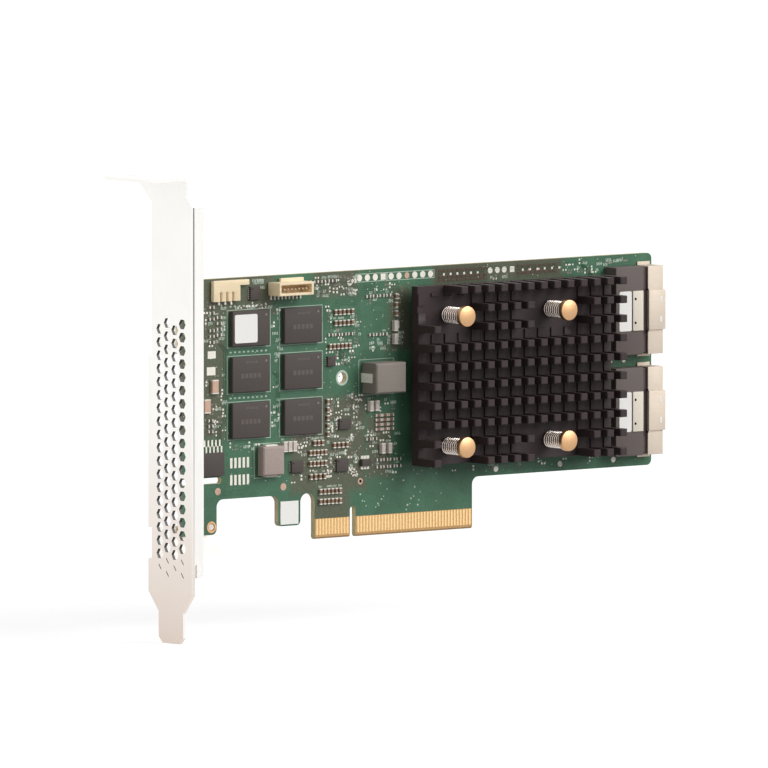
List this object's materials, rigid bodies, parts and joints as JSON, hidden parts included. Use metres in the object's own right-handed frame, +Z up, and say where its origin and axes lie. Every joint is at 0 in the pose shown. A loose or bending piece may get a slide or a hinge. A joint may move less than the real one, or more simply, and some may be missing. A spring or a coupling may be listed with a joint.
{
  "type": "sas controller card",
  "caption": "Low-profile storage controller card: keyed circuit board, vented slot bracket, pin-fin heat sink on spring screws, cable sockets, memory chips and small parts.",
  "frame": {"origin": "middle of the key notch, at the contact edge, on the component face of the board", "axes": "+X along the card, away from the bracket; +Y from the component side to the back; +Z up, from the contact edge to the top edge"},
  "size_m": [0.1758, 0.0221, 0.12],
  "materials": {
    "board_mask": "satin green solder mask",
    "gold_plate": "gold plating",
    "bracket_steel": "bright plated sheet",
    "screw_steel": "plated steel",
    "screw_brass": "turned brass",
    "sink_black": "black anodised",
    "chip_black": "moulded epoxy",
    "pad_grey": "soft filled pad",
    "port_grey": "moulded plastic",
    "shell_steel": "tinned sheet",
    "cream_plastic": "moulded plastic",
    "label_white": "blank printed film",
    "ferrite_grey": "pressed powder",
    "ceramic_tan": "fired ceramic",
    "resistor_dark": "coated ceramic",
    "tantalum_yellow": "moulded resin",
    "tin": "tin plating"
  },
  "bodies": {
    "root": {"circuit_board": "board_mask", "edge_contacts_front": "gold_plate", "edge_contacts_back": "gold_plate", "mounting_bracket": "bracket_steel", "bracket_screws": "screw_steel", "board_inserts": "gold_plate", "controller_chip": "chip_black", "thermal_pad": "pad_grey", "heat_sink": "sink_black", "retention_screws": "screw_brass", "retention_springs": "screw_steel", "retention_nuts": "screw_brass", "lower_port_housing": "port_grey", "upper_port_housing": "port_grey", "lower_port_shell": "shell_steel", "upper_port_shell": "shell_steel", "lower_latch_plate": "shell_steel", "upper_latch_plate": "shell_steel", "lower_port_contacts": "gold_plate", "upper_port_contacts": "gold_plate", "port_strips": "label_white", "memory_chip_1": "chip_black", "memory_chip_2": "chip_black", "memory_chip_3": "chip_black", "memory_chip_4": "chip_black", "memory_chip_5": "chip_black", "memory_chip_6": "chip_black", "memory_sticker": "label_white", "tab_sticker": "label_white", "power_header": "cream_plastic", "power_header_pins": "tin", "signal_header": "cream_plastic", "signal_header_pins": "tin", "small_inductor": "ferrite_grey", "small_inductor_terminals": "tin", "large_inductor": "ferrite_grey", "large_inductor_terminals": "tin", "switch_chip": "chip_black", "switch_chip_leads": "tin", "regulator_chips": "chip_black", "logic_chips": "chip_black", "transistor": "chip_black", "transistor_leads": "tin", "large_capacitors": "ceramic_tan", "ceramic_capacitors": "ceramic_tan", "chip_resistors": "resistor_dark", "array_capacitors": "ceramic_tan", "tantalum_capacitors": "tantalum_yellow", "rear_capacitors": "ceramic_tan"}
  },
  "joints": []
}
